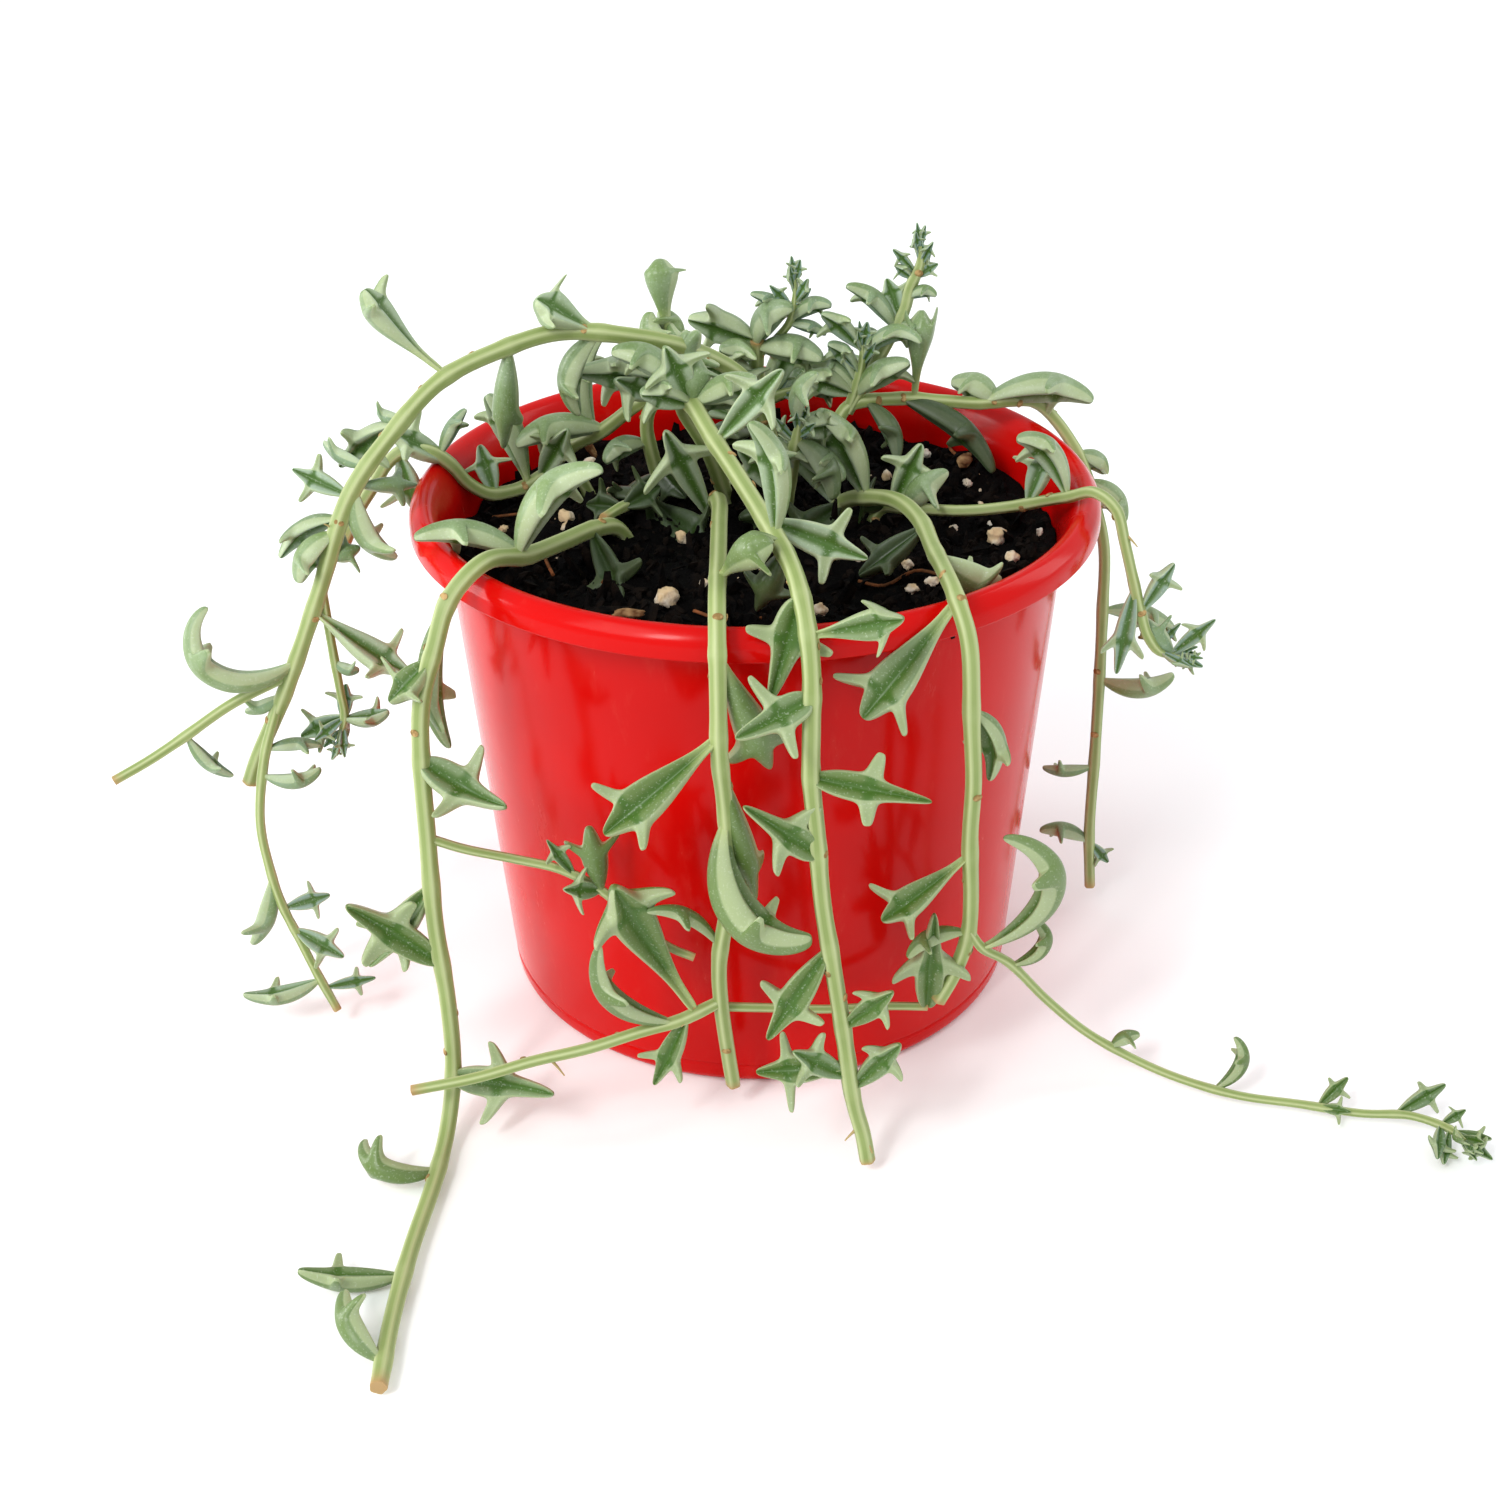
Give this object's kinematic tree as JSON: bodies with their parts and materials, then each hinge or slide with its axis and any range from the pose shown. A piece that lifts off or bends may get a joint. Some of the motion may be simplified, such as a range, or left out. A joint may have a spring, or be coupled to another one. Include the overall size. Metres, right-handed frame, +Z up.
{
  "type": "potted string of dolphins plant",
  "caption": "Trailing succulent with dolphin-shaped leaves, growing in a glossy red plastic nursery pot that stands on its flat base.",
  "frame": {"origin": "middle of the pot's flat base, where it rests", "axes": "+Z up through the pot; -Y is the front, where most of the stems trail; +X is to the right seen from the front"},
  "size_m": [0.2723, 0.208, 0.1558],
  "materials": {
    "pot": "glossy injection-moulded polypropylene, red, with fine scuffs",
    "potting_mix": "damp dark peat and bark mix with pale grit",
    "stem": "smooth fleshy pale green stem, faintly ribbed, tan scars",
    "leaf": "smooth fleshy leaf with a pale waxy bloom and a dark green clear stripe"
  },
  "bodies": {
    "root": {"pot": "pot", "stem_arching": "stem", "stem_inner": "stem", "stem_left_rim": "stem", "stem_long_trailing": "stem", "stem_front_trailing": "stem", "stem_middle_trailing": "stem", "stem_right_trailing": "stem", "stem_right_rim": "stem", "stem_back": "stem", "stem_crown_left": "stem", "stem_crown_rear": "stem", "stem_crown_back": "stem", "stem_crown_right": "stem", "leaf_arching_1": "leaf", "leaf_inner_1": "leaf", "leaf_left_rim_1": "leaf", "leaf_long_trailing_1": "leaf", "leaf_long_trailing_2": "leaf", "leaf_long_trailing_3": "leaf", "leaf_front_trailing_1": "leaf", "leaf_front_trailing_2": "leaf", "leaf_front_trailing_3": "leaf", "leaf_front_trailing_4": "leaf", "leaf_front_trailing_5": "leaf", "leaf_front_trailing_6": "leaf", "leaf_middle_trailing_1": "leaf", "leaf_middle_trailing_2": "leaf", "leaf_right_trailing_1": "leaf", "leaf_right_trailing_2": "leaf", "leaf_right_trailing_3": "leaf", "leaf_right_trailing_4": "leaf", "leaf_right_trailing_5": "leaf", "leaf_right_trailing_6": "leaf", "leaf_right_rim_1": "leaf", "leaf_back_1": "leaf", "leaf_back_2": "leaf", "leaf_back_3": "leaf", "leaf_back_4": "leaf", "leaf_crown_left_1": "leaf", "leaf_crown_left_2": "leaf", "leaf_crown_left_3": "leaf", "leaf_crown_left_4": "leaf", "leaf_crown_left_5": "leaf", "leaf_crown_left_6": "leaf", "leaf_crown_rear_1": "leaf", "leaf_crown_rear_2": "leaf", "leaf_crown_rear_3": "leaf", "leaf_crown_rear_4": "leaf", "leaf_crown_back_1": "leaf", "leaf_crown_back_2": "leaf", "leaf_crown_back_3": "leaf", "leaf_crown_back_4": "leaf", "leaf_crown_back_5": "leaf", "leaf_crown_back_6": "leaf", "leaf_crown_right_1": "leaf", "leaf_crown_right_2": "leaf", "leaf_crown_right_3": "leaf", "potting_mix": "potting_mix"}
  },
  "joints": []
}
